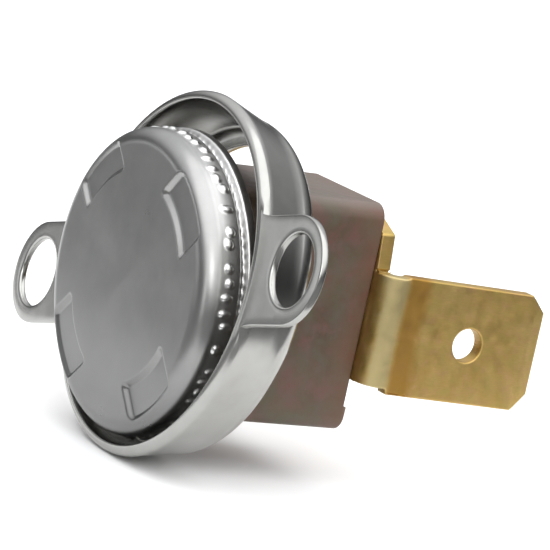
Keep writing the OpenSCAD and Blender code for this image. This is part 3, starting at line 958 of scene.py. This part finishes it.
def softbox(name, position, target, w, h, radiance, colour=(1, 1, 1)):
    lamp = bpy.data.lights.new(name, "AREA")
    lamp.shape = "RECTANGLE"
    lamp.size, lamp.size_y = w, h
    lamp.energy = PI * w * h * radiance
    lamp.color = colour
    obj = bpy.data.objects.new(name, lamp)
    obj.location = position
    obj.rotation_euler = look_at(position, target)
    bpy.context.scene.collection.objects.link(obj)


def sun(name, direction, strength, angle):
    lamp = bpy.data.lights.new(name, "SUN")
    lamp.energy = strength
    lamp.angle = math.radians(angle)
    obj = bpy.data.objects.new(name, lamp)
    obj.rotation_euler = look_at(direction, (0, 0, 0))
    bpy.context.scene.collection.objects.link(obj)


sun("sky_soft", (-0.12, -0.55, 1.0), 2.5, 110)
softbox("left_fill", (-0.150, -0.100, 0.020), (0.004, 0, 0), 0.05, 0.08, 1.6)
softbox("camera_soft", (-0.085, -0.155, 0.075), (0.004, 0, 0), 0.07, 0.05, 3.6)

world = bpy.data.worlds.new("studio")
world.use_nodes = True
sky = world.node_tree
bg = next(n for n in sky.nodes if n.type == "BACKGROUND")
# a dim room with a bright ceiling. What the camera sees past the paper is as pale as the paper
coord = sky.nodes.new("ShaderNodeTexCoord")
split_xyz = sky.nodes.new("ShaderNodeSeparateXYZ")
sky.links.new(coord.outputs["Generated"], split_xyz.inputs[0])
height = sky.nodes.new("ShaderNodeMapRange")
height.inputs["From Min"].default_value = -1.0
sky.links.new(split_xyz.outputs[2], height.inputs["Value"])
room = sky.nodes.new("ShaderNodeValToRGB")
room.color_ramp.elements[0].position = 0.0
room.color_ramp.elements[0].color = (0.45, 0.45, 0.45, 1)
room.color_ramp.elements[1].position = 1.0
room.color_ramp.elements[1].color = (1.35, 1.37, 1.40, 1)
for pos, c in ((0.42, 0.36), (0.485, 0.22), (0.54, 0.10), (0.60, 0.16), (0.68, 0.62), (0.78, 1.10)):
    stop = room.color_ramp.elements.new(pos)
    stop.color = (c, c, c * 1.02, 1)
sky.links.new(height.outputs["Result"], room.inputs["Fac"])
# darker beyond the terminal's end
side = sky.nodes.new("ShaderNodeMapRange")
side.inputs["From Min"].default_value = 0.60
side.inputs["From Max"].default_value = 0.88
side.inputs["To Min"].default_value = 1.0
side.inputs["To Max"].default_value = 0.35
sky.links.new(split_xyz.outputs[0], side.inputs["Value"])
dimmed = sky.nodes.new("ShaderNodeVectorMath")
dimmed.operation = "SCALE"
sky.links.new(room.outputs["Color"], dimmed.inputs[0])
sky.links.new(side.outputs["Result"], dimmed.inputs["Scale"])
# a low window behind, on the left, which the ears reflect
window = None
for axis, a, b in ((0, -0.40, -0.50), (1, 0.20, 0.40), (2, -0.085, -0.035), (2, 0.12, 0.07)):
    part = sky.nodes.new("ShaderNodeMapRange")
    part.inputs["From Min"].default_value = a
    part.inputs["From Max"].default_value = b
    sky.links.new(split_xyz.outputs[axis], part.inputs["Value"])
    if window is None:
        window = part.outputs["Result"]
    else:
        both = sky.nodes.new("ShaderNodeMath")
        both.operation = "MULTIPLY"
        sky.links.new(window, both.inputs[0])
        sky.links.new(part.outputs["Result"], both.inputs[1])
        window = both.outputs[0]
lit = sky.nodes.new("ShaderNodeMix")
lit.data_type = "RGBA"
sky.links.new(window, lit.inputs["Factor"])
sky.links.new(dimmed.outputs[0], lit.inputs[6])
lit.inputs[7].default_value = (1.30, 1.31, 1.33, 1)
seen = sky.nodes.new("ShaderNodeLightPath")
choose = sky.nodes.new("ShaderNodeMix")
choose.data_type = "RGBA"
choose.inputs[7].default_value = (0.98, 0.985, 0.99, 1)
sky.links.new(seen.outputs["Is Camera Ray"], choose.inputs["Factor"])
sky.links.new(lit.outputs[2], choose.inputs[6])
sky.links.new(choose.outputs[2], bg.inputs["Color"])
bg.inputs["Strength"].default_value = 1.0
bpy.context.scene.world = world

bpy.context.scene.view_settings.view_transform = "Standard"
bpy.context.scene.view_settings.look = "None"

camera = bpy.data.cameras.new("camera")
camera.sensor_fit = "HORIZONTAL"
camera.sensor_width = 36.0
camera.lens = 259.49
camera.clip_start = 0.01
camera.clip_end = 100.0
cam = bpy.data.objects.new("camera", camera)
right = Vector((0.844065, -0.493937, 0.208759))
up = Vector((-0.086742, 0.258409, 0.962133))
ahead = Vector((0.529178, 0.830212, -0.175269))
place = Matrix((right, up, -ahead)).transposed().to_4x4()
place.translation = Vector((-100.519, -171.669, 37.302)) * MM
cam.matrix_world = place
bpy.context.scene.collection.objects.link(cam)
bpy.context.scene.camera = cam
